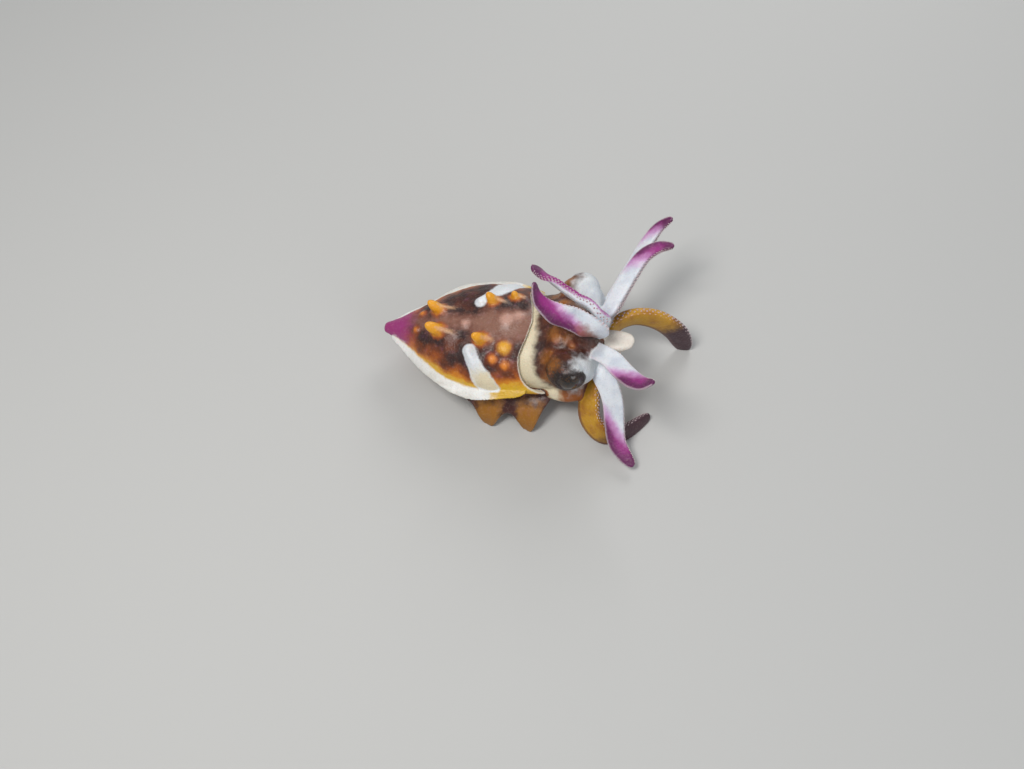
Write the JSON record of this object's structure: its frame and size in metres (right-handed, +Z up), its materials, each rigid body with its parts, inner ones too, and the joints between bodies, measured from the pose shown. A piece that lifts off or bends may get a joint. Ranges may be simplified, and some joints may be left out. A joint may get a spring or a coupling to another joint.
{
  "type": "flamboyant cuttlefish",
  "caption": "Small cuttlefish walking, with flapped mantle, thin side fins, big lidded eyes, spread blade-like arms with suckers, funnel and lobed feet.",
  "frame": {"origin": "on the floor, under the middle of the model's bounding box", "axes": "+X forward, the way the head points; +Y the animal's left; +Z up"},
  "size_m": [0.1147, 0.0817, 0.0608],
  "materials": {
    "mantle_skin": "soft wet skin, dark maroon brown with yellow patches and white bars",
    "head_skin": "soft wet skin, dark brown with ochre and orange patches",
    "fin_skin": "soft wet skin, cream white turning yellow towards the head",
    "lobe_skin": "soft wet skin, orange brown",
    "arm_white_skin": "soft wet skin, white",
    "arm_magenta_skin": "soft wet skin, magenta to violet",
    "arm_yellow_skin": "soft wet skin, yellow ochre",
    "arm_purple_skin": "soft wet skin, dark purple brown",
    "pale_flesh": "soft wet flesh, greyish white",
    "eye": "clear wet eye, near black"
  },
  "bodies": {
    "root": {"arm_left_1_base": "arm_white_skin", "arm_left_1_tip": "arm_magenta_skin", "arm_left_2_base": "arm_white_skin", "arm_left_2_tip": "arm_magenta_skin", "arm_left_3_base": "arm_white_skin", "arm_left_3_tip": "arm_magenta_skin", "arm_left_4_base": "arm_yellow_skin", "arm_left_4_tip": "arm_purple_skin", "arm_right_1_base": "arm_white_skin", "arm_right_1_tip": "arm_magenta_skin", "arm_right_2_base": "arm_white_skin", "arm_right_2_tip": "arm_magenta_skin", "arm_right_3_base": "arm_white_skin", "arm_right_3_tip": "arm_magenta_skin", "arm_right_4_base": "arm_yellow_skin", "arm_right_4_tip": "arm_purple_skin", "eye_left": "eye", "eye_right": "eye", "fin_left": "fin_skin", "fin_right": "fin_skin", "funnel": "lobe_skin", "head": "head_skin", "lobe_front_left": "lobe_skin", "lobe_front_right": "lobe_skin", "lobe_rear_left": "lobe_skin", "lobe_rear_right": "lobe_skin", "mantle": "mantle_skin", "mouth": "pale_flesh", "tentacle_left": "pale_flesh", "tentacle_right": "pale_flesh"}
  },
  "joints": []
}
